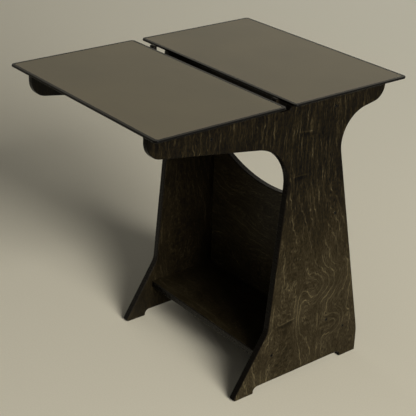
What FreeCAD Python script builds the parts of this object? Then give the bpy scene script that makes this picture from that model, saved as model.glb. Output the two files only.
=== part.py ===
import FreeCAD, Part
import math
import os
from types import SimpleNamespace

import Sketcher

# Artist's taboret of dark-stained birch plywood: two sculpted side panels carry two glass palettes that lift
# off, and are tied together by a shelf, a back panel with a dipped top edge and three rails under the
# palettes.
#
# Frame: X across (right +X), Y from front to rear, Z up, in millimetres.
# The origin is on the floor, under the middle of the gap between the palettes.

Vector = FreeCAD.Vector

# Driving dimensions, in millimetres. A "place" is measured along Y from the middle of the palette gap.
SIZES = {
    # palettes
    "table_height": 760.0,
    "palette_width": 578.0,
    "palette_depth": 346.0,
    "palette_gap": 24.0,
    "palette_corner": 10.0,
    "glass_thickness": 5.0,
    "glass_arris": 1.2,
    "backing_thickness": 1.0,
    "backing_margin": 5.0,
    # plywood and the rounded edge of every board
    "board_thickness": 18.0,
    "edge_round": 3.0,
    "side_overhang": 52.0,
    # side panel: the arms, which the palettes overhang
    "front_arm_setback": 17.5,
    "rear_arm_setback": 13.0,
    "front_arm_depth": 57.0,
    "rear_arm_depth": 56.0,
    "front_arm_nose": 39.0,
    "rear_arm_nose": 38.0,
    # side panel: front edge of the leg, from the arm down to the toe (a drop is below the arms' top edge)
    "armpit_place": 61.0,
    "armpit_drop": 121.5,
    "armpit_round": 110.0,
    "ankle_place": 16.0,
    "ankle_height": 159.0,
    "ankle_round": 50.0,
    "toe_reach": 86.0,
    "toe_nose": 6.0,
    # side panel: rear edge of the leg, from the heel up to the rear arm
    "heel_place": 327.0,
    "heel_height": 64.5,
    "heel_round": 144.0,
    "waist_place": 199.5,
    "waist_drop": 83.5,
    "waist_round": 84.0,
    # side panel: the two feet and the arch between them
    "toe_foot_length": 66.0,
    "heel_foot_length": 57.0,
    "arch_height": 16.5,
    "arch_round": 12.0,
    "foot_corner": 3.0,
    # side panel: the tab that stops the rear palette and the finger notch behind it
    "tab_clearance": 0.5,
    "tab_length": 11.0,
    "tab_setdown": 1.0,
    "tab_corner": 3.8,
    "tab_heel_round": 1.0,
    "notch_length": 35.0,
    "notch_depth": 26.5,
    "notch_round": 6.0,
    "notch_lip_round": 4.0,
    # shelf, set in from the front edge of the ankle and from the heel
    "shelf_height": 100.5,
    "shelf_lead": 15.0,
    "shelf_rear_setback": 21.5,
    # back panel, which stands on the shelf
    "back_panel_offset": 12.5,
    "back_panel_height": 371.0,
    "back_dip_depth": 61.5,
    "back_dip_inset": 12.0,
    "back_dip_end_round": 20.0,
    # rails under the palettes: two set in from the palettes' inner edges, one close behind the notch
    "rail_height": 70.0,
    "front_rail_inset": 164.0,
    "rear_rail_inset": 174.0,
    # screws
    "screw_length": 50.0,
    "screw_shank": 5.0,
    "screw_head": 8.0,
    "screw_fit": 0.05,
    "pilot_spare": 2.0,
    "socket_across_corners": 3.4,
    "socket_depth": 2.0,
    "shelf_screw_inset": 32.0,
    "back_screw_inset": 30.5,
    "back_screw_drop": 43.5,
    "rail_screw_low_inset": 23.0,
    "rail_screw_top_inset": 18.0,
    # dowels: at the thirds between a board's two screws, or by themselves in the middle rail
    "dowel_diameter": 8.0,
    "dowel_length": 30.0,
    "dowel_bevel": 1.0,
    "dowel_fit": 0.05,
    "dowel_end_gap": 0.5,
    "dowel_in_side": 12.0,
    # clear pads in the arms' top edges, set in from each palette's inner and outer edge
    "pad_diameter": 8.0,
    "pad_thickness": 2.0,
    "pad_rise": 0.5,
    "pad_bevel": 0.3,
    "pad_fit": 0.1,
    "pad_inner_inset": 84.0,
    "pad_outer_inset": 34.0,
}

PAIR_COUNT = 2
THIRDS = 3
HEXAGON = 6
FULL_TURN = 360
COUNTERSINK_ANGLE = 90
SAME_PLACE = 1e-4


class Size:
    """A length that knows both its value and the sheet formula that gives it."""

    def __init__(self, value, formula):
        self.value = value
        self.formula = formula

    def combine(self, sign, other, value):
        formula = other.formula if isinstance(other, Size) else repr(other)
        return Size(value, f"({self.formula} {sign} {formula})")

    def __add__(self, other):
        return self.combine("+", other, self.value + plain(other))

    def __sub__(self, other):
        return self.combine("-", other, self.value - plain(other))

    def __mul__(self, other):
        return self.combine("*", other, self.value * plain(other))

    def __truediv__(self, other):
        return self.combine("/", other, self.value / plain(other))

    def __neg__(self):
        return Size(-self.value, f"(-1 * {self.formula})")


def plain(number):
    """The value of a Size or of a number."""
    return number.value if isinstance(number, Size) else number


doc = FreeCAD.newDocument("taboret")
sheet = doc.addObject("Spreadsheet::Sheet", "Sizes")
for row, (alias, value) in enumerate(SIZES.items(), start=1):
    sheet.set(f"A{row}", alias)
    sheet.set(f"B{row}", str(value))
    sheet.setAlias(f"B{row}", alias)
doc.recompute()
S = SimpleNamespace(**{alias: Size(value, f"Sizes.{alias}") for alias, value in SIZES.items()})

# Places and heights that several pieces share
outer_half = S.palette_width / 2 - S.side_overhang
inner_half = outer_half - S.board_thickness
palette_inner_edge = S.palette_gap / 2
palette_outer_edge = palette_inner_edge + S.palette_depth
glass_bottom = S.table_height - S.glass_thickness
palette_bottom = glass_bottom - S.backing_thickness
rest_height = palette_bottom - S.pad_rise

shelf_front = S.ankle_place - S.shelf_lead
shelf_rear = S.heel_place - S.shelf_rear_setback
shelf_middle = S.shelf_height - S.board_thickness / 2
back_middle = S.waist_place + S.back_panel_offset
back_top = S.shelf_height + S.back_panel_height
tab_rear = palette_inner_edge - S.tab_clearance
tab_front = tab_rear - S.tab_length
notch_rear = tab_rear + S.notch_length
front_rail_middle = -(palette_inner_edge + S.front_rail_inset)
middle_rail_middle = notch_rear + S.edge_round + S.board_thickness / 2
rear_rail_middle = palette_inner_edge + S.rear_rail_inset
rail_bottom = rest_height - S.rail_height

# Distance between the two screws, dowels or pads of a pair
shelf_screw_spacing = shelf_rear - shelf_front - S.shelf_screw_inset * 2
back_screw_spacing = S.back_panel_height - S.back_screw_inset - S.back_screw_drop
rail_screw_spacing = S.rail_height - S.rail_screw_low_inset - S.rail_screw_top_inset
shelf_dowel_spacing = shelf_screw_spacing / THIRDS
back_dowel_spacing = back_screw_spacing / THIRDS
pad_spacing = S.palette_depth - S.pad_inner_inset - S.pad_outer_inset

# Holes for the fasteners
screw_hole = S.screw_shank + S.screw_fit * 2
screw_sink = S.screw_head + S.screw_fit * 2
pilot_depth = S.screw_length - S.board_thickness + S.pilot_spare
dowel_hole = S.dowel_diameter + S.dowel_fit * 2
dowel_side_depth = S.dowel_in_side + S.dowel_end_gap
dowel_board_depth = S.dowel_length - S.dowel_in_side + S.dowel_end_gap


def pair_along_y(first, height, spacing):
    return [(first, height), (first + spacing, height)]


def pair_along_z(place, first, spacing):
    return [(place, first), (place, first + spacing)]


# Where each fastener meets a side panel, as (place along Y, height)
shelf_screws = pair_along_y(shelf_front + S.shelf_screw_inset, shelf_middle, shelf_screw_spacing)
shelf_dowels = pair_along_y(shelf_screws[0][0] + shelf_dowel_spacing, shelf_middle, shelf_dowel_spacing)
back_screws = pair_along_z(back_middle, S.shelf_height + S.back_screw_inset, back_screw_spacing)
back_dowels = pair_along_z(back_middle, back_screws[0][1] + back_dowel_spacing, back_dowel_spacing)
rail_screw_low = rail_bottom + S.rail_screw_low_inset
front_rail_screws = pair_along_z(front_rail_middle, rail_screw_low, rail_screw_spacing)
rear_rail_screws = pair_along_z(rear_rail_middle, rail_screw_low, rail_screw_spacing)
middle_rail_dowels = pair_along_z(middle_rail_middle, rail_screw_low, rail_screw_spacing)
inner_pad = palette_inner_edge + S.pad_inner_inset
outer_pad = palette_outer_edge - S.pad_outer_inset


# ---------------------------------------------------------------- drawing helpers

def new_body(label):
    """An empty body whose label names its file."""
    body = doc.addObject("PartDesign::Body", label)
    body.Label = label
    body.AllowCompound = True
    return body


def bind(item, path, size):
    item.setExpression(path, size.formula)


def put_at(body, x, y, z):
    for axis, size in (("x", x), ("y", y), ("z", z)):
        bind(body, f"Placement.Base.{axis}", size)


def origin_feature(body, role):
    """The body's own origin plane or axis with this role."""
    return next(item for item in body.Origin.OriginFeatures if item.Role == role)


def new_sketch(body, name, role, offset=None):
    """A sketch on one of the body's origin planes, moved along its normal by an offset."""
    sketch = body.newObject("Sketcher::SketchObject", name)
    sketch.AttachmentSupport = (origin_feature(body, role), [""])
    sketch.MapMode = "FlatFace"
    if offset is not None:
        bind(sketch, "AttachmentOffset.Base.z", offset)
    return sketch


def hold_size(sketch, kind, geometry, size):
    """Adds a radius or diameter that follows the sheet."""
    number = sketch.addConstraint(Sketcher.Constraint(kind, geometry, size.value))
    bind(sketch, f"Constraints[{number}]", size)


def pin(sketch, geometry, point, across, along):
    """Holds a point of the sketch at (across, along) from its origin; a plain 0 puts it on the axis."""
    for kind, size, axis in (("DistanceX", across, -2), ("DistanceY", along, -1)):
        if not isinstance(size, Size):
            sketch.addConstraint(Sketcher.Constraint("PointOnObject", geometry, point, axis))
            continue
        ends = (-1, 1, geometry, point)
        if size.value < 0:
            ends = (geometry, point, -1, 1)
            size = -size
        number = sketch.addConstraint(Sketcher.Constraint(kind, *ends, size.value))
        bind(sketch, f"Constraints[{number}]", size)


def draw_polygon(sketch, corners):
    """Closed outline of straight lines through corners given as (across, along)."""
    count = len(corners)
    points = [Vector(plain(across), plain(along), 0) for across, along in corners]
    for index in range(count):
        sketch.addGeometry(Part.LineSegment(points[index], points[(index + 1) % count]))
    for index in range(count):
        sketch.addConstraint(Sketcher.Constraint("Coincident", index, 2, (index + 1) % count, 1))
    for index, (across, along) in enumerate(corners):
        pin(sketch, index, 1, across, along)


def draw_circles(sketch, centres, diameter):
    for across, along in centres:
        middle = Vector(plain(across), plain(along), 0)
        geometry = sketch.addGeometry(Part.Circle(middle, Vector(0, 0, 1), diameter.value / 2))
        pin(sketch, geometry, 3, across, along)
        hold_size(sketch, "Diameter", geometry, diameter)


def pad(body, sketch, name, length, reverse=False, symmetric=False):
    feature = body.newObject("PartDesign::Pad", name)
    feature.Profile = sketch
    bind(feature, "Length", length)
    feature.Reversed = reverse
    if symmetric:
        feature.SideType = "Symmetric"
    doc.recompute()


def check_cut(body, volume_before, name):
    """Stops the build if a cut took nothing away."""
    doc.recompute()
    if body.Shape.Volume >= volume_before:
        raise RuntimeError(f"{body.Label}: {name} cuts nothing")


def pocket(body, sketch, name, depth, reverse=False):
    doc.recompute()
    before = body.Shape.Volume
    feature = body.newObject("PartDesign::Pocket", name)
    feature.Profile = sketch
    bind(feature, "Length", depth)
    feature.Reversed = reverse
    check_cut(body, before, name)
    return feature


def drill(body, name, places, offset, diameter, depth=None, sink=None, reverse=False):
    """Round holes along X at (Y, Z) places, through or to a depth, with a countersink if one is given."""
    sketch = new_sketch(body, name + "_places", "YZ_Plane", offset)
    draw_circles(sketch, places, diameter)
    doc.recompute()
    before = body.Shape.Volume
    hole = body.newObject("PartDesign::Hole", name)
    hole.Profile = sketch
    hole.ThreadType = "None"
    hole.DrillPoint = "Flat"
    hole.Reversed = reverse
    bind(hole, "Diameter", diameter)
    if depth is None:
        hole.DepthType = "ThroughAll"
    else:
        hole.DepthType = "Dimension"
        bind(hole, "Depth", depth)
    if sink is not None:
        hole.HoleCutType = "Countersink"
        hole.HoleCutCustomValues = True
        hole.HoleCutCountersinkAngle = COUNTERSINK_ANGLE
        bind(hole, "HoleCutDiameter", sink)
    check_cut(body, before, name)


def round_edges(body, name, radius, wanted):
    """Rounds every edge of the body's present shape that the test picks out."""
    base = body.Tip
    edges = [f"Edge{number}" for number, edge in enumerate(base.Shape.Edges, start=1) if wanted(edge)]
    if not edges:
        raise RuntimeError(f"{body.Label}: {name} finds no edge")
    fillet = body.newObject("PartDesign::Fillet", name)
    fillet.Base = (base, edges)
    bind(fillet, "Radius", radius)
    doc.recompute()


def along_x_at(corners):
    """Picks the straight edges along X that stand at one of these (Y, Z) corners."""
    places = [(plain(across), plain(along)) for across, along in corners]

    def wanted(edge):
        start, end = edge.Vertexes[0].Point, edge.Vertexes[-1].Point
        if abs(start.y - end.y) > SAME_PLACE or abs(start.z - end.z) > SAME_PLACE:
            return False
        return any(math.hypot(start.y - y, start.z - z) < SAME_PLACE for y, z in places)

    return wanted


def lies_at_x(*levels):
    """Picks the edges that lie whole in a plane square to X at one of these levels."""
    places = [plain(level) for level in levels]

    def wanted(edge):
        box = edge.BoundBox
        return any(abs(box.XMin - x) < SAME_PLACE and abs(box.XMax - x) < SAME_PLACE for x in places)

    return wanted


def lies_level(edge):
    return edge.BoundBox.ZLength < SAME_PLACE


def stands_up(edge):
    return edge.BoundBox.ZLength > SAME_PLACE


def along_y_at(distance):
    """Picks the straight edges along Y at this distance either side of the middle."""

    def wanted(edge):
        box = edge.BoundBox
        off_place = abs(abs(box.XMin) - plain(distance))
        return max(box.XLength, box.ZLength, off_place) < SAME_PLACE

    return wanted


def follows_face_above(height):
    """Picks the edges that run along a front or rear face and lie above a height."""

    def wanted(edge):
        ends = [vertex.Point for vertex in edge.Vertexes]
        along_face = abs(ends[0].y - ends[-1].y) < SAME_PLACE
        return along_face and min(end.z for end in ends) > plain(height)

    return wanted


# ---------------------------------------------------------------- side panels

front_end = S.front_arm_setback - palette_outer_edge
rear_end = palette_outer_edge - S.rear_arm_setback
front_arm_low = rest_height - S.front_arm_depth
rear_arm_low = rest_height - S.rear_arm_depth
armpit_height = rest_height - S.armpit_drop
waist_height = rest_height - S.waist_drop
arch_front = S.toe_foot_length - S.toe_reach
arch_rear = S.heel_place - S.heel_foot_length
tab_top = S.table_height - S.tab_setdown
notch_bottom = rest_height - S.notch_depth

# The outline as sharp corners (Y, Z), from the front arm's end down the front edge and round to the start
SIDE_OUTLINE = [
    (front_end, rest_height),
    (front_end, front_arm_low),
    (S.armpit_place, armpit_height),
    (S.ankle_place, S.ankle_height),
    (-S.toe_reach, 0),
    (arch_front, 0),
    (arch_front, S.arch_height),
    (arch_rear, S.arch_height),
    (arch_rear, 0),
    (S.heel_place, 0),
    (S.heel_place, S.heel_height),
    (S.waist_place, waist_height),
    (rear_end, rear_arm_low),
    (rear_end, rest_height),
    (notch_rear, rest_height),
    (notch_rear, notch_bottom),
    (tab_rear, notch_bottom),
    (tab_rear, tab_top),
    (tab_front, tab_top),
    (tab_front, rest_height),
]

# How each of those corners is rounded: a name, the radius and the corners that share it
ROUNDED_CORNERS = [
    ("front_arm_nose", S.front_arm_nose, [(front_end, front_arm_low)]),
    ("armpit", S.armpit_round, [(S.armpit_place, armpit_height)]),
    ("ankle", S.ankle_round, [(S.ankle_place, S.ankle_height)]),
    ("toe", S.toe_nose, [(-S.toe_reach, 0)]),
    ("heel", S.heel_round, [(S.heel_place, S.heel_height)]),
    ("waist", S.waist_round, [(S.waist_place, waist_height)]),
    ("rear_arm_nose", S.rear_arm_nose, [(rear_end, rear_arm_low)]),
    ("arch", S.arch_round, [(arch_front, S.arch_height), (arch_rear, S.arch_height)]),
    ("feet", S.foot_corner, [(arch_front, 0), (arch_rear, 0), (S.heel_place, 0)]),
    ("arm_ends", S.foot_corner, [(front_end, rest_height), (rear_end, rest_height)]),
    ("notch_lip", S.notch_lip_round, [(notch_rear, rest_height)]),
    ("notch_floor", S.notch_round, [(notch_rear, notch_bottom), (tab_rear, notch_bottom)]),
    ("tab_corners", S.tab_corner, [(tab_rear, tab_top), (tab_front, tab_top)]),
    ("tab_heel", S.tab_heel_round, [(tab_front, rest_height)]),
]


def make_side_panel(label, side):
    """One sculpted side panel; its inner face is its local plane X = 0 and side is +1 on the right."""
    body = new_body(label)
    bind(body, "Placement.Base.x", inner_half * side)
    on_left = side < 0
    outer_face = S.board_thickness * side
    outline = new_sketch(body, "outline", "YZ_Plane")
    draw_polygon(outline, SIDE_OUTLINE)
    pad(body, outline, "board", S.board_thickness, reverse=on_left)
    for name, radius, corners in ROUNDED_CORNERS:
        round_edges(body, name, radius, along_x_at(corners))
    round_edges(body, "edge_round", S.edge_round, lies_at_x(0, outer_face))

    screws = shelf_screws + back_screws + front_rail_screws + rear_rail_screws
    drill(body, "screw_holes", screws, outer_face, screw_hole, sink=screw_sink, reverse=on_left)
    dowels = shelf_dowels + back_dowels + middle_rail_dowels
    drill(body, "dowel_holes", dowels, None, dowel_hole, dowel_side_depth, reverse=not on_left)

    pad_places = [(outer_face / 2, place * end) for place in (inner_pad, outer_pad) for end in (-1, 1)]
    seats = new_sketch(body, "pad_seat_places", "XY_Plane", rest_height)
    draw_circles(seats, pad_places, S.pad_diameter + S.pad_fit * 2)
    pocket(body, seats, "pad_seats", S.pad_thickness - S.pad_rise)


# ---------------------------------------------------------------- boards between the side panels

def drill_ends(body, screws, dowels):
    """Pilot holes for screws and holes for dowels in both end faces of a board."""
    for end, side in (("right", 1), ("left", -1)):
        end_face = inner_half * side
        on_left = side < 0
        if screws:
            drill(body, f"{end}_pilots", screws, end_face, screw_hole, pilot_depth, reverse=on_left)
        if dowels:
            drill(body, f"{end}_dowel_holes", dowels, end_face, dowel_hole, dowel_board_depth,
                  reverse=on_left)


def make_long_board(label, front, rear, bottom, top, screws, dowels):
    """A straight board between the side panels, drawn as its end view, with its four long edges rounded."""
    body = new_body(label)
    corners = [(front, bottom), (rear, bottom), (rear, top), (front, top)]
    end_view = new_sketch(body, "end_view", "YZ_Plane")
    draw_polygon(end_view, corners)
    pad(body, end_view, "board", inner_half * 2, symmetric=True)
    round_edges(body, "edge_round", S.edge_round, along_x_at(corners))
    drill_ends(body, screws, dowels)


def make_shelf():
    bottom = S.shelf_height - S.board_thickness
    make_long_board("bottom_shelf", shelf_front, shelf_rear, bottom, S.shelf_height, shelf_screws,
                    shelf_dowels)


def make_rail(label, middle, screws, dowels):
    half = S.board_thickness / 2
    make_long_board(label, middle - half, middle + half, rail_bottom, rest_height, screws, dowels)


def make_back_panel():
    """Upright board that stands on the shelf; its top edge dips in one arc between two short level ends."""
    body = new_body("back_panel")
    bind(body, "Placement.Base.y", back_middle)
    dip_half = inner_half - S.back_dip_inset
    dip_radius = (dip_half * dip_half + S.back_dip_depth * S.back_dip_depth) / (S.back_dip_depth * 2)
    dip_bottom = back_top - S.back_dip_depth
    corners = [(-inner_half, S.shelf_height), (inner_half, S.shelf_height), (inner_half, back_top),
               (dip_half, back_top), (-dip_half, back_top), (-inner_half, back_top)]
    points = [Vector(plain(across), plain(along), 0) for across, along in corners]
    outline = new_sketch(body, "outline", "XZ_Plane")
    count = len(points)
    dip = corners.index((dip_half, back_top))
    for index in range(count):
        start, end = points[index], points[(index + 1) % count]
        if index == dip:
            outline.addGeometry(Part.Arc(end, Vector(0, dip_bottom.value, 0), start))
        else:
            outline.addGeometry(Part.LineSegment(start, end))
    for index in range(count):
        after = (index + 1) % count
        leaving = 1 if index == dip else 2
        entering = 2 if after == dip else 1
        outline.addConstraint(Sketcher.Constraint("Coincident", index, leaving, after, entering))
    for index, (across, along) in enumerate(corners):
        pin(outline, index, 2 if index == dip else 1, across, along)
    hold_size(outline, "Radius", dip, dip_radius)
    pad(body, outline, "board", S.board_thickness, symmetric=True)
    round_edges(body, "dip_ends", S.back_dip_end_round, along_y_at(dip_half))
    round_edges(body, "top_round", S.edge_round, follows_face_above(dip_bottom))
    drill_ends(body, [(0, height) for place, height in back_screws],
               [(0, height) for place, height in back_dowels])


# ---------------------------------------------------------------- palettes

def make_palette_sheet(label, margin, bottom, thickness, side):
    """A flat sheet with rounded corners, set in from the palette's edge by a margin; side -1 is the front."""
    body = new_body(label)
    half_width = S.palette_width / 2 - margin
    near = (palette_inner_edge + margin) * side
    far = (palette_outer_edge - margin) * side
    plan = new_sketch(body, "plan", "XY_Plane", bottom)
    draw_polygon(plan, [(-half_width, near), (half_width, near), (half_width, far), (-half_width, far)])
    pad(body, plan, "sheet", thickness)
    round_edges(body, "corners", S.palette_corner - margin, stands_up)
    return body


def make_palette(name, side):
    """A glass palette with eased rims, and the grey backing sheet bonded under it."""
    glass = make_palette_sheet(f"{name}_palette_glass", 0, glass_bottom, S.glass_thickness, side)
    round_edges(glass, "arris", S.glass_arris, lies_level)
    make_palette_sheet(f"{name}_palette_backing", S.backing_margin, palette_bottom, S.backing_thickness, side)


# ---------------------------------------------------------------- turned pieces, always in pairs

def turn(body, name, plane, axis, corners):
    """Revolves an outline about the sketch's own horizontal (H_Axis) or vertical (V_Axis) axis."""
    outline = new_sketch(body, name + "_outline", plane)
    draw_polygon(outline, corners)
    feature = body.newObject("PartDesign::Revolution", name)
    feature.Profile = outline
    feature.ReferenceAxis = (outline, [axis])
    feature.Angle = FULL_TURN
    doc.recompute()
    return feature


def make_pair(body, originals, role, spacing):
    """Repeats what the body holds so far once more, along one of its axes."""
    pattern = body.newObject("PartDesign::LinearPattern", "pair")
    pattern.Originals = originals
    pattern.Direction = (origin_feature(body, role), [""])
    pattern.Mode = "Spacing"
    bind(pattern, "Offset", spacing)
    pattern.Occurrences = PAIR_COUNT
    body.Tip = pattern
    doc.recompute()


def make_screws(label, side, first, role, spacing):
    """Two blunt countersunk screws driven in from the outer face, heads flush, each with a hex socket."""
    body = new_body(label)
    put_at(body, outer_half * side, *first)
    head = S.screw_head / 2
    shank = S.screw_shank / 2
    neck = (head - shank) * -side
    end = S.screw_length * -side
    screw = turn(body, "screw", "XY_Plane", "H_Axis",
                 [(0, 0), (0, head), (neck, shank), (end, shank), (end, 0)])

    reach = S.socket_across_corners / 2
    first_corner = math.pi / 4
    angles = [first_corner + 2 * math.pi * corner / HEXAGON for corner in range(HEXAGON)]
    socket_view = new_sketch(body, "socket_view", "YZ_Plane")
    draw_polygon(socket_view, [(reach * math.cos(angle), reach * math.sin(angle)) for angle in angles])
    socket = pocket(body, socket_view, "socket", S.socket_depth, reverse=side < 0)
    make_pair(body, [screw, socket], role, spacing)


def make_dowels(label, side, first, role, spacing):
    """Two beech dowels with bevelled ends, across the joint between a side panel and a board."""
    body = new_body(label)
    put_at(body, inner_half * side, *first)
    radius = S.dowel_diameter / 2
    rim = radius - S.dowel_bevel
    outside = S.dowel_in_side * side
    inside = (S.dowel_in_side - S.dowel_length) * side
    bevel = S.dowel_bevel * side
    dowel = turn(body, "dowel", "XY_Plane", "H_Axis",
                 [(outside, 0), (outside, rim), (outside - bevel, radius),
                  (inside + bevel, radius), (inside, rim), (inside, 0)])
    make_pair(body, [dowel], role, spacing)


def make_pads(label, side, first):
    """Two clear pads under one palette, let into the top edge of one arm."""
    body = new_body(label)
    put_at(body, (inner_half + S.board_thickness / 2) * side, first, palette_bottom)
    radius = S.pad_diameter / 2
    bottom = -S.pad_thickness
    disc = turn(body, "disc", "XZ_Plane", "V_Axis",
                [(0, 0), (radius - S.pad_bevel, 0), (radius, -S.pad_bevel), (radius, bottom), (0, bottom)])
    make_pair(body, [disc], "Y_Axis", pad_spacing)


# ---------------------------------------------------------------- the taboret

make_shelf()
make_back_panel()
make_rail("front_cross_rail", front_rail_middle, front_rail_screws, [])
make_rail("middle_cross_rail", middle_rail_middle, [], middle_rail_dowels)
make_rail("rear_cross_rail", rear_rail_middle, rear_rail_screws, [])
make_palette("front", -1)
make_palette("rear", 1)
for hand, side in (("left", -1), ("right", 1)):
    make_side_panel(f"{hand}_side_panel", side)
    make_screws(f"{hand}_shelf_screws", side, shelf_screws[0], "Y_Axis", shelf_screw_spacing)
    make_screws(f"{hand}_back_panel_screws", side, back_screws[0], "Z_Axis", back_screw_spacing)
    make_screws(f"{hand}_front_rail_screws", side, front_rail_screws[0], "Z_Axis", rail_screw_spacing)
    make_screws(f"{hand}_rear_rail_screws", side, rear_rail_screws[0], "Z_Axis", rail_screw_spacing)
    make_dowels(f"{hand}_shelf_dowels", side, shelf_dowels[0], "Y_Axis", shelf_dowel_spacing)
    make_dowels(f"{hand}_back_panel_dowels", side, back_dowels[0], "Z_Axis", back_dowel_spacing)
    make_dowels(f"{hand}_middle_rail_dowels", side, middle_rail_dowels[0], "Z_Axis", rail_screw_spacing)
    make_pads(f"{hand}_front_rest_pads", side, -outer_pad)
    make_pads(f"{hand}_rear_rest_pads", side, inner_pad)

# ---------------------------------------------------------------- tests, then one file per piece

doc.recompute()
for item in doc.Objects:
    if "Invalid" in item.State or "Error" in item.State:
        raise RuntimeError(f"{item.Label} failed: {item.State}")

bodies = [item for item in doc.Objects if item.TypeId == "PartDesign::Body"]
for body in bodies:
    shape = body.Shape
    if shape.isNull() or not shape.isValid():
        raise RuntimeError(f"{body.Label} has no valid shape")
    print(f"{body.Label:28s} solids {len(shape.Solids)}  volume {shape.Volume:12.1f}")

os.makedirs("parts", exist_ok=True)
for body in bodies:
    body.Shape.exportStep(f"parts/{body.Label}.step")
print(f"{len(bodies)} pieces written")
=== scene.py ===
import math

import bpy
from mathutils import Euler, Matrix, Vector


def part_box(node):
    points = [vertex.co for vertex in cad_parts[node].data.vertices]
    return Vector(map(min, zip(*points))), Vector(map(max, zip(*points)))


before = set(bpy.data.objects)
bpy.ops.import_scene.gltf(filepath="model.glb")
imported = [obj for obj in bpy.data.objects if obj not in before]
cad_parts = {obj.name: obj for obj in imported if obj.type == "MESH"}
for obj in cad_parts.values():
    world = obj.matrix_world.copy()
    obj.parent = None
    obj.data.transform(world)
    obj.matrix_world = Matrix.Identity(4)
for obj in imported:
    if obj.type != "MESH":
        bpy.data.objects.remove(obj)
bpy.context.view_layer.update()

# ---------------------------------------------------------------- side panels
# Two sculpted panels of 18 mm birch plywood, cut on a router, their edges rounded over with a 3 mm cutter.
# They are stained ebony, wiped back so that the pale grain shows through as gold, and sealed with satin oil.
# Everything else hangs on them: the boards are screwed and dowelled between them.

MM = 0.001
X, Y, Z = 0, 1, 2


def linear(hex_colour):
    """Turns an sRGB hex colour such as "#3b3324" to the linear RGBA that the shaders take."""
    channels = [int(hex_colour[start:start + 2], 16) / 255 for start in (1, 3, 5)]
    return [c / 12.92 if c <= 0.04045 else ((c + 0.055) / 1.055) ** 2.4 for c in channels] + [1.0]


def add(tree, kind, *values, named=None, stops=(), result=0, **settings):
    """Adds a shader node and returns one of its outputs.

    Values fill its inputs in order, and named fills them by name or number, each with a number, a vector, a
    colour or the output that feeds it. Stops are a colour ramp's places and hex colours.
    """
    node = tree.nodes.new("ShaderNode" + kind)
    for setting, value in settings.items():
        setattr(node, setting, value)
    for socket, value in [*enumerate(values), *(named or {}).items()]:
        if isinstance(value, bpy.types.NodeSocket):
            tree.links.new(value, node.inputs[socket])
        else:
            node.inputs[socket].default_value = value
    ramp = node.color_ramp.elements if stops else []
    while len(ramp) < len(stops):
        ramp.new(0.5)
    for element, (position, colour) in zip(ramp, stops):
        element.position = position
        element.color = linear(colour)
    return node.outputs[result] if node.outputs else None


def new_material(name):
    """An empty material, with its node tree."""
    material = bpy.data.materials.new(name)
    material.use_nodes = True
    material.node_tree.nodes.clear()
    return material, material.node_tree


def dress(node_names, material):
    """Gives CAD nodes a material."""
    for node_name in node_names:
        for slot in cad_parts[node_name].material_slots:
            slot.material = material


def patches(tree, point, width, length, seed, detail=2.0, roughness=0.5):
    """Soft patches between about -0.5 and 0.5, of a real size across and along the grain."""
    through = 90 * MM
    stretched = add(tree, "VectorMath", point, (1 / width, 1 / length, 1 / through), (seed, seed, seed),
                    operation="MULTIPLY_ADD")
    noise = add(tree, "TexNoise", named={
        "Vector": stretched, "Scale": 1.0, "Detail": detail, "Roughness": roughness})
    return add(tree, "Math", noise, 0.5, operation="SUBTRACT")


def reach_of_crest(tree, point, crest_across, crest_along, half_width, half_length):
    """0 at the middle of a crest, 1 at its foot."""
    offset = add(tree, "VectorMath", point, (crest_across, crest_along, 0), operation="SUBTRACT")
    offset = add(tree, "VectorMath", offset, (1 / half_width, 1 / half_length, 0), operation="MULTIPLY")
    return add(tree, "VectorMath", offset, operation="LENGTH", result="Value")


def slope_of(tree, field, point, value):
    """How steeply a field rises at a point, from its value there and a step away on both axes."""
    step = 0.7 * MM
    least_slope = 0.15
    slopes = []
    for offset in ((step, 0, 0), (0, step, 0)):
        value_there = field(add(tree, "VectorMath", point, offset, operation="ADD"))
        rise = add(tree, "Math", value_there, value, operation="SUBTRACT")
        slopes.append(add(tree, "Math", rise, step, operation="DIVIDE"))
    slope = add(tree, "VectorMath", add(tree, "CombineXYZ", *slopes), operation="LENGTH", result="Value")
    return add(tree, "Math", slope, least_slope, operation="MAXIMUM")


def curl_in_the_grain(tree, point, curl_across, curl_along, length, slope):
    """The light of a short pale bar that fades towards its ends, less what its shade below takes."""
    whole_until = 0.6
    bar_reach = 2.4 * MM
    bar_light = 0.26
    shade_drop = 2.6 * bar_reach
    shade_reach = 3 * bar_reach
    shade_depth = 0.20
    offset = add(tree, "VectorMath", point, (curl_across, curl_along, 0), operation="SUBTRACT")
    sideways, upwards = [add(tree, "SeparateXYZ", offset, result=axis) for axis in (0, 1)]
    from_middle = add(tree, "Math", sideways, operation="ABSOLUTE")
    ends = add(tree, "MapRange", from_middle, whole_until * length / 2, length / 2, 1, 0)
    height = add(tree, "Math", sideways, -slope, upwards, operation="MULTIPLY_ADD")
    to_bar = add(tree, "Math", height, operation="ABSOLUTE")
    bar = add(tree, "MapRange", to_bar, 0, bar_reach, bar_light, 0)
    to_shade = add(tree, "Math", height, shade_drop, operation="ADD")
    to_shade = add(tree, "Math", to_shade, operation="ABSOLUTE")
    shade = add(tree, "MapRange", to_shade, 0, shade_reach, shade_depth, 0)
    curl = add(tree, "Math", bar, shade, operation="SUBTRACT")
    return add(tree, "Math", curl, ends, operation="MULTIPLY")


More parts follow.
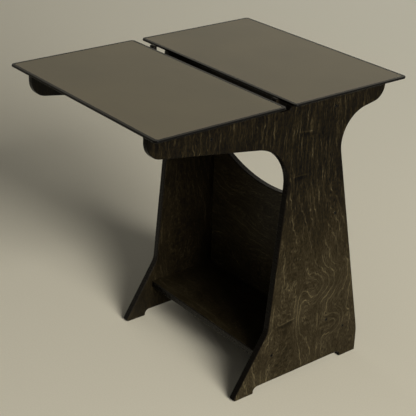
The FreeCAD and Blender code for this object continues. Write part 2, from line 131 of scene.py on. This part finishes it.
def ply_edges(tree, through, end_grain):
    """The colour of the plies seen end on, which drink the stain and stay dark."""
    ply_pair = 2.8 * MM
    ply_contrast = 0.15
    end_grain_contrast = 0.6
    plies = add(tree, "Math", through, 2 * math.pi / ply_pair, operation="MULTIPLY")
    plies = add(tree, "Math", plies, operation="SINE")
    light = add(tree, "Math", plies, ply_contrast, 0.5, operation="MULTIPLY_ADD")
    light = add(tree, "Math", end_grain, end_grain_contrast, light, operation="MULTIPLY_ADD")
    return add(tree, "ValToRGB", light, stops=[(0.0, "#060504"), (0.5, "#0d0b09"), (1.0, "#18150f")])


def stained_birch(name, across, along, seed, near, far, cut, swirl, rings, streaks, tone, gloss,
                  inward_face_shade=1.0, crests=(), curls=()):
    """Rotary-cut birch ply under a wiped ebony stain and satin oil: gold lines and flecks on near black.

    The face's two axes are across and along, and the grain runs along. Rotary cutting unrolls the log, so
    its growth rings show as long wandering lines. Each pair gives a value at near and one at far, two places
    along the grain: cut is how steeply the face cuts the rings, 1 for straight grain and less for wide loops,
    swirl how far they wander, in metres, rings and streaks how strongly the rings and the fibre streaks show,
    and tone how light the face is, darker towards the arms on the side panels. Gloss is the oil's specular
    level, and inward_face_shade the share of the tone that the face which looks into the table keeps: painted
    shade for the dark inside of the table. A crest is where the knife ran over a bump in the log, which
    closes
    the rings to a loop: (across, along, half its width, half its length, rise). A curl is where the fibres
    turn
    out of the face: (across, along, length, slope).
    """
    thickness = ({X, Y, Z} - {across, along}).pop()
    material, tree = new_material(name)
    place = add(tree, "TexCoord", result="Object")
    on_across, on_along, on_thickness = [
        add(tree, "SeparateXYZ", place, result=axis) for axis in (across, along, thickness)]
    flat = add(tree, "CombineXYZ", on_across, on_along, on_thickness)

    def along_grain(pair):
        """Goes from a pair's first value at near to its second at far."""
        return add(tree, "MapRange", on_along, near, far, *pair)

    def depth_in_log(point):
        """How deep in the log the face lies at a point. The growth rings are its contour lines."""
        loop_width = 90 * MM
        loop_length = 280 * MM
        tremble_width = 10 * MM
        tremble_length = 26 * MM
        tremble_depth = 12 * MM
        wander = patches(tree, point, loop_width, loop_length, seed, detail=1.5, roughness=0.35)
        tremble = patches(tree, point, tremble_width, tremble_length, seed, detail=1.0)
        point_across = add(tree, "SeparateXYZ", point, result=0)
        depth = add(tree, "Math", point_across, along_grain(cut), operation="MULTIPLY")
        depth = add(tree, "Math", wander, along_grain(swirl), depth, operation="MULTIPLY_ADD")
        depth = add(tree, "Math", tremble, tremble_depth, depth, operation="MULTIPLY_ADD")
        for *crest, rise in crests:
            bump = add(tree, "MapRange", reach_of_crest(tree, point, *crest), 0, 1, rise, 0,
                       interpolation_type="SMOOTHSTEP")
            depth = add(tree, "Math", depth, bump, operation="ADD")
        return depth

    # Each growth ring is a thin pale line, as wide where the rings crowd as where they spread
    ring_spacing = 20 * MM
    ring_line = 2.8 * MM
    depth = depth_in_log(flat)
    to_ring = add(tree, "Math", depth, ring_spacing / 2, operation="PINGPONG")
    to_ring = add(tree, "Math", to_ring, slope_of(tree, depth_in_log, flat, depth), operation="DIVIDE")
    ring_light = add(tree, "MapRange", to_ring, 0, ring_line, 1, 0)

    # The rings come and go in places, but stay clear round a crest
    gap_width = 60 * MM
    gap_length = 96 * MM
    gone_below = -0.08
    whole_above = 0.04
    clear_within = 0.5
    clear_until = 1.1
    clearness = 0.7
    gaps = patches(tree, flat, gap_width, gap_length, seed, detail=3.0)
    shown = add(tree, "MapRange", gaps, gone_below, whole_above)
    for *crest, _ in crests:
        reach = reach_of_crest(tree, flat, *crest)
        on_crest = add(tree, "MapRange", reach, clear_within, clear_until, clearness, 0)
        shown = add(tree, "Math", shown, on_crest, operation="MAXIMUM")
    ring_light = add(tree, "Math", ring_light, shown, operation="MULTIPLY")

    # Fibres and streaks run along the rings; blotches are where the stain sank in unevenly
    fibre_width = 1.4 * MM  # real fibres are under half of this: drawn as coarse as they need to show
    fibre_length = 9 * MM
    streak_width = 2.8 * MM
    streak_length = 60 * MM
    blotch_width = 60 * MM
    blotch_length = 90 * MM
    pale_from = 0.02
    pale_to = 0.20
    straight = add(tree, "Math", on_across, along_grain(cut), operation="MULTIPLY")
    waver = add(tree, "Math", depth, straight, operation="SUBTRACT")
    beside_rings = add(tree, "Math", on_across, waver, operation="ADD")
    grain = add(tree, "CombineXYZ", beside_rings, on_along, on_thickness)
    fibres = patches(tree, grain, fibre_width, fibre_length, seed, detail=3.0, roughness=0.6)
    streak = patches(tree, grain, streak_width, streak_length, seed, roughness=0.6)
    blotches = patches(tree, flat, blotch_width, blotch_length, seed, detail=4.0, roughness=0.6)
    pale_streaks = add(tree, "MapRange", streak, pale_from, pale_to)

    # How light the face is: first its tone, with painted shade on a face that looks into the table, then what
    # the wood shows through it
    fibre_contrast = 1.1
    streak_contrast = 0.35
    blotch_contrast = 0.40
    facing = add(tree, "SeparateXYZ", add(tree, "NewGeometry", result="Normal"), result=thickness)
    outward = add(tree, "Math", facing, on_thickness, operation="MULTIPLY")
    inward = add(tree, "Math", outward, 0.0, operation="LESS_THAN")
    # A face that looks into the table keeps only part of its tone: painted shade for the dark inside of the
    # table
    painted_inward_shade = add(tree, "MapRange", inward, 0, 1, 1, inward_face_shade)
    light = add(tree, "Math", along_grain(tone), painted_inward_shade, operation="MULTIPLY")
    for pattern, strength in ((ring_light, along_grain(rings)), (pale_streaks, along_grain(streaks)),
                              (fibres, fibre_contrast), (streak, streak_contrast),
                              (blotches, blotch_contrast)):
        light = add(tree, "Math", pattern, strength, light, operation="MULTIPLY_ADD")
    for curl in curls:
        light = add(tree, "Math", light, curl_in_the_grain(tree, flat, *curl), operation="ADD")

    # A face runs from ebony to the gold of the wiped wood, and an edge shows the plies end on
    edge_until = 0.80
    face_from = 0.95
    face_colour = add(tree, "ValToRGB", light, stops=[
        (0.0, "#040303"), (0.2, "#0f0c07"), (0.4, "#1b160b"), (0.6, "#2c2619"), (0.8, "#403a2a"),
        (1.0, "#61583f")])
    end_grain = patches(tree, flat, fibre_width, fibre_width, seed)
    edge_colour = ply_edges(tree, on_thickness, end_grain)
    squareness = add(tree, "Math", facing, operation="ABSOLUTE")
    on_face = add(tree, "MapRange", squareness, edge_until, face_from)
    colour = add(tree, "Mix", on_face, named={6: edge_colour, 7: face_colour}, result=2, data_type="RGBA")

    # The oil lies thicker on the rounded edges, which are smoother than the faces
    fibre_swing = 0.2
    edge_roughness = (0.22, 0.32)
    face_rougher_by = 0.12
    roughness = add(tree, "MapRange", fibres, -fibre_swing, fibre_swing, *edge_roughness)
    roughness = add(tree, "Math", on_face, face_rougher_by, roughness, operation="MULTIPLY_ADD")
    relief = add(tree, "Bump", named={"Strength": 0.25, "Distance": 0.2 * MM, "Height": fibres})
    shader = add(tree, "BsdfPrincipled", named={
        "Base Color": colour, "Roughness": roughness, "Normal": relief, "Specular IOR Level": gloss})
    add(tree, "OutputMaterial", shader)
    return material


# Wide loops fill the foot, and the arms have straight grain. A crest is given as across, along, half its
# width, half its length and rise, and a curl as across, along, length and slope.
loops_end = 0.28
arms_start = 0.54
loop_over_front_screw = (126 * MM, 168 * MM, 34 * MM, 110 * MM, 36 * MM)
eye_round_rear_screws = (236 * MM, 116 * MM, 50 * MM, 48 * MM, -38 * MM)
arcs_above_the_eye = (196 * MM, 240 * MM, 90 * MM, 66 * MM, -44 * MM)
curl_high_on_the_arm = (102 * MM, 663 * MM, 50 * MM, -0.12)
curl_low_on_the_arm = (88 * MM, 557 * MM, 50 * MM, -0.02)
curl_near_the_toe = (72 * MM, 170 * MM, 72 * MM, 0.09)
dress(["right_side_panel"], stained_birch(
    "stained_birch_right_panel", across=Y, along=Z, seed=4.2, near=loops_end, far=arms_start,
    cut=(0.55, 1.0), swirl=(0.10, 0.03), rings=(0.28, 0.26), streaks=(0.04, 0.38), tone=(0.54, 0.19),
    gloss=0.04, inward_face_shade=0.63,
    crests=[loop_over_front_screw, eye_round_rear_screws, arcs_above_the_eye],
    curls=[curl_high_on_the_arm, curl_low_on_the_arm, curl_near_the_toe]))
dress(["left_side_panel"], stained_birch(
    "stained_birch_left_panel", across=Y, along=Z, seed=9.7, near=loops_end, far=arms_start,
    cut=(0.55, 1.0), swirl=(0.10, 0.03), rings=(0.22, 0.15), streaks=(0.05, 0.25), tone=(0.54, 0.20),
    gloss=0.12, inward_face_shade=0.63))

# ---------------------------------------------------------------- shelf, back panel and rails
# The same plywood, its face grain run across from panel to panel. The shelf's long edges and the dipped top
# edge of the back panel are rounded over, and all ends butt against the side panels. The three rails tie the
# arms together under the palettes, and the middle one closes the view through the gap between them.

half_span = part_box("bottom_shelf")[1].x
dress(["bottom_shelf"], stained_birch(
    "stained_birch_shelf", across=Y, along=X, seed=2.9, near=-half_span, far=half_span,
    cut=(0.5, 0.5), swirl=(0.10, 0.15), rings=(0.15, 0.15), streaks=(0.1, 0.1), tone=(0.46, 0.46),
    gloss=0.12))
dress(["back_panel"], stained_birch(
    "stained_birch_back", across=Z, along=X, seed=6.4, near=-half_span, far=half_span,
    cut=(0.5, 0.5), swirl=(0.16, 0.14), rings=(0.2, 0.2), streaks=(0.1, 0.1), tone=(0.54, 0.54),
    gloss=0.12))
dress([f"{place}_cross_rail" for place in ("front", "middle", "rear")], stained_birch(
    "stained_birch_rail", across=Z, along=X, seed=7.5, near=-half_span, far=half_span,
    cut=(1.0, 1.0), swirl=(0.03, 0.03), rings=(0.05, 0.05), streaks=(0.1, 0.1), tone=(0.16, 0.16),
    gloss=0.05))

# ---------------------------------------------------------------- screws
# Countersunk furniture screws of hardened steel with a hex socket, driven through the side panels into the
# ends of the boards. They are blackened by oxide, a skin too thin to soften the steel's corners.


def black_oxide_steel():
    """Dull black metal with a faint mottle in its colour and in its shine."""
    mottle_size = 1.5 * MM
    material, tree = new_material("black_oxide_steel")
    place = add(tree, "TexCoord", result="Object")
    mottle = add(tree, "TexNoise", named={"Vector": place, "Scale": 1 / mottle_size, "Detail": 3.0})
    colour = add(tree, "ValToRGB", mottle, stops=[(0.3, "#070707"), (0.7, "#100f0e")])
    roughness = add(tree, "MapRange", mottle, 0, 1, 0.35, 0.6)
    shader = add(tree, "BsdfPrincipled", named={
        "Base Color": colour, "Roughness": roughness, "Metallic": 0.85})
    add(tree, "OutputMaterial", shader)
    return material


joints_with_screws = ("shelf", "back_panel", "front_rail", "rear_rail")
hands = ("left", "right")
dress([f"{hand}_{joint}_screws" for hand in hands for joint in joints_with_screws], black_oxide_steel())

# ---------------------------------------------------------------- dowels
# Beech pins, left raw. They are glued across the joints between the side panels and the ends of the boards,
# and hidden there.


def raw_beech():
    """Pale pinkish brown and matt, with the short dark flecks of beech along the pin."""
    fleck_length = 3 * MM
    fleck_width = 0.6 * MM
    material, tree = new_material("raw_beech")
    place = add(tree, "TexCoord", result="Object")
    stretched = add(tree, "VectorMath", place, (1 / fleck_length, 1 / fleck_width, 1 / fleck_width),
                    operation="MULTIPLY")
    flecks = add(tree, "TexNoise", named={"Vector": stretched, "Scale": 1.0, "Detail": 2.0})
    colour = add(tree, "ValToRGB", flecks, stops=[(0.35, "#b08a5e"), (0.65, "#d2ae80")])
    shader = add(tree, "BsdfPrincipled", named={"Base Color": colour, "Roughness": 0.65})
    add(tree, "OutputMaterial", shader)
    return material


joints_with_dowels = ("shelf", "back_panel", "middle_rail")
dress([f"{hand}_{joint}_dowels" for hand in hands for joint in joints_with_dowels], raw_beech())

# ---------------------------------------------------------------- rest pads
# Soft clear polyurethane discs let into the top edges of the arms. They keep the glass from sliding and
# rattling on the wood.


def clear_polyurethane():
    """Slightly milky and half clear, with a soft shine."""
    haze_size = 2 * MM
    material, tree = new_material("clear_polyurethane")
    place = add(tree, "TexCoord", result="Object")
    haze = add(tree, "TexNoise", named={"Vector": place, "Scale": 1 / haze_size})
    colour = add(tree, "ValToRGB", haze, stops=[(0.3, "#c9c8c0"), (0.7, "#dddcd6")])
    shader = add(tree, "BsdfPrincipled", named={
        "Base Color": colour, "Roughness": 0.3, "Transmission Weight": 0.6, "IOR": 1.49})
    add(tree, "OutputMaterial", shader)
    return material


dress([f"{hand}_{end}_rest_pads" for hand in hands for end in ("front", "rear")], clear_polyurethane())

# ---------------------------------------------------------------- palettes
# Two sheets of float glass with ground, pencil-rounded rims. A neutral grey sheet bonded underneath gives the
# painter a mid tone to mix on; it stops short of the rim, which therefore reads nearly black.


def backed_glass(name, backing):
    """Smooth and glossy, with the backing's even grey close under the surface and a black border round it:
    painted shade for the dark seen below the glass's clear rim.
    """
    low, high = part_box(backing)
    centre = (low + high) / 2
    half = (high - low) / 2
    painted_dark_inset = 3 * MM
    corner = 5 * MM
    fade = 0.4 * MM
    cloud_size = 180 * MM
    grit_size = 1.2 * MM
    material, tree = new_material(name)
    place = add(tree, "TexCoord", result="Object")

    # Distance past the grey part, a rounded rectangle a little inside the backing. Beyond it the glass is
    # painted black: painted shade for the dark seen below its clear rim
    any_height = 1.0
    clear_half = (half.x - painted_dark_inset - corner, half.y - painted_dark_inset - corner, any_height)
    past = add(tree, "VectorMath", place, centre, operation="SUBTRACT")
    past = add(tree, "VectorMath", past, operation="ABSOLUTE")
    past = add(tree, "VectorMath", past, clear_half, operation="SUBTRACT")
    past = add(tree, "VectorMath", past, (0, 0, 0), operation="MAXIMUM")
    past = add(tree, "VectorMath", past, operation="LENGTH", result="Value")
    border = add(tree, "MapRange", past, corner - fade, corner + fade)

    clouds = add(tree, "TexNoise", named={"Vector": place, "Scale": 1 / cloud_size, "Detail": 2.0})
    grey = add(tree, "ValToRGB", clouds, stops=[(0.3, "#66604f"), (0.7, "#6c6552")])
    colour = add(tree, "Mix", border, named={6: grey, 7: linear("#020203")}, result=2, data_type="RGBA")
    grit = add(tree, "TexNoise", named={"Vector": place, "Scale": 1 / grit_size, "Detail": 2.0})
    roughness = add(tree, "MapRange", grit, 0, 1, 0.14, 0.22)
    shader = add(tree, "BsdfPrincipled", named={
        "Base Color": colour, "Roughness": roughness, "IOR": 1.52, "Specular IOR Level": 0.12})
    add(tree, "OutputMaterial", shader)
    return material


def matt_grey_vinyl():
    """A flat mid grey with a fine grain and no shine."""
    grain_size = 0.8 * MM
    material, tree = new_material("matt_grey_vinyl")
    place = add(tree, "TexCoord", result="Object")
    grain = add(tree, "TexNoise", named={"Vector": place, "Scale": 1 / grain_size, "Detail": 2.0})
    colour = add(tree, "ValToRGB", grain, stops=[(0.3, "#57534a"), (0.7, "#615d53")])
    shader = add(tree, "BsdfPrincipled", named={"Base Color": colour, "Roughness": 0.7})
    add(tree, "OutputMaterial", shader)
    return material


for end in ("front", "rear"):
    dress([f"{end}_palette_glass"], backed_glass(f"float_glass_{end}", f"{end}_palette_backing"))
dress(["front_palette_backing", "rear_palette_backing"], matt_grey_vinyl())

# ---------------------------------------------------------------- floor, light and camera
# The table stands on a wide round of warm white paper under an even sky. A large soft box on the right gives
# its shadow, and a weak one far off on the left lifts the dark side.


def seen_as_background(tree):
    """1 where the camera, gloss or glass sees the background, 0 where it lights something."""
    seen = 0.0
    for ray in ("Is Camera Ray", "Is Glossy Ray", "Is Transmission Ray"):
        seen = add(tree, "Math", seen, add(tree, "LightPath", result=ray), operation="MAXIMUM")
    return seen


def background_paper():
    """Matt, with a faint fibre. It gets lighter towards the back, where the lamp reaches it less."""
    fibre_size = 4 * MM
    lighter_from = 0.4
    lighter_to = 3.0
    glow_at_the_back = 0.22
    back_colour = linear("#f8f4e0")
    material, tree = new_material("background_paper")
    place = add(tree, "TexCoord", result="Object")
    fibre = add(tree, "TexNoise", named={"Vector": place, "Scale": 1 / fibre_size, "Detail": 2.0})
    front_colour = add(tree, "ValToRGB", fibre, stops=[(0.3, "#dcd8c6"), (0.7, "#e0dcca")])
    rearward = add(tree, "SeparateXYZ", place, result=Y)
    at_the_back = add(tree, "MapRange", rearward, lighter_from, lighter_to)
    colour = add(tree, "Mix", at_the_back, named={6: front_colour, 7: back_colour}, result=2,
                 data_type="RGBA")
    glow = add(tree, "Math", at_the_back, glow_at_the_back, operation="MULTIPLY")
    glow = add(tree, "Math", glow, seen_as_background(tree), operation="MULTIPLY")
    shader = add(tree, "BsdfPrincipled", named={
        "Base Color": colour, "Roughness": 0.85, "Specular IOR Level": 0.2,
        "Emission Color": back_colour, "Emission Strength": glow})
    add(tree, "OutputMaterial", shader)
    return material


bpy.ops.mesh.primitive_circle_add(vertices=96, radius=12.0, fill_type="NGON", location=(0, 0, 0))
floor = bpy.context.object
floor.name = "paper_floor"
floor.data.materials.append(background_paper())


def even_sky(strength):
    """Light from all round; the backdrop that is seen in its place is lightest behind the table."""
    world = bpy.data.worlds.new("studio")
    bpy.context.scene.world = world
    world.use_nodes = True
    tree = world.node_tree
    tree.nodes.clear()
    towards = add(tree, "TexCoord", result="Generated")
    rearward = add(tree, "SeparateXYZ", towards, result=Y)
    backdrop_colour = add(tree, "ValToRGB", rearward, stops=[(0.40, "#a29c8c"), (0.75, "#cfc9b8")])
    light = add(tree, "Background", linear("#f6f3ee"), strength)
    backdrop = add(tree, "Background", backdrop_colour, 1.0)
    add(tree, "OutputWorld", add(tree, "MixShader", seen_as_background(tree), light, backdrop))


def soft_box(name, place, spread, power):
    """A large square lamp behind a grid, which keeps its light off the floor below it."""
    side = 3.3
    table_middle = Vector((0, 0, 0.4))
    data = bpy.data.lights.new(name, "AREA")
    data.shape = "SQUARE"
    data.size = side
    data.spread = math.radians(spread)
    data.energy = power
    data.color = linear("#fffaf2")[:3]
    lamp = bpy.data.objects.new(name, data)
    aim = (table_middle - Vector(place)).to_track_quat("-Z", "Y")
    lamp.matrix_world = Matrix.Translation(place) @ aim.to_matrix().to_4x4()
    bpy.context.scene.collection.objects.link(lamp)


even_sky(strength=0.09)
soft_box("key", place=(5.85, -0.5, 2.9), spread=70, power=101)
soft_box("fill", place=(-9.0, 1.4, 1.3), spread=50, power=14)


def camera(place, azimuth, elevation, roll, focal_pixels, picture_width):
    """A camera that looks along +Y at azimuth 0 and turns leftwards as it grows; angles are in degrees."""
    data = bpy.data.cameras.new("camera")
    data.lens = focal_pixels * data.sensor_width / picture_width
    body = bpy.data.objects.new("camera", data)
    turn = Euler((math.radians(90 - elevation), 0, math.radians(azimuth))).to_matrix().to_4x4()
    body.matrix_world = Matrix.Translation(place) @ turn @ Matrix.Rotation(math.radians(roll), 4, "Z")
    bpy.context.scene.collection.objects.link(body)
    bpy.context.scene.camera = body


camera(place=(1.9496, -1.5582, 1.5981), azimuth=51.17, elevation=25.53, roll=1.78,
       focal_pixels=1129.3, picture_width=416)
bpy.context.scene.view_settings.view_transform = "Standard"
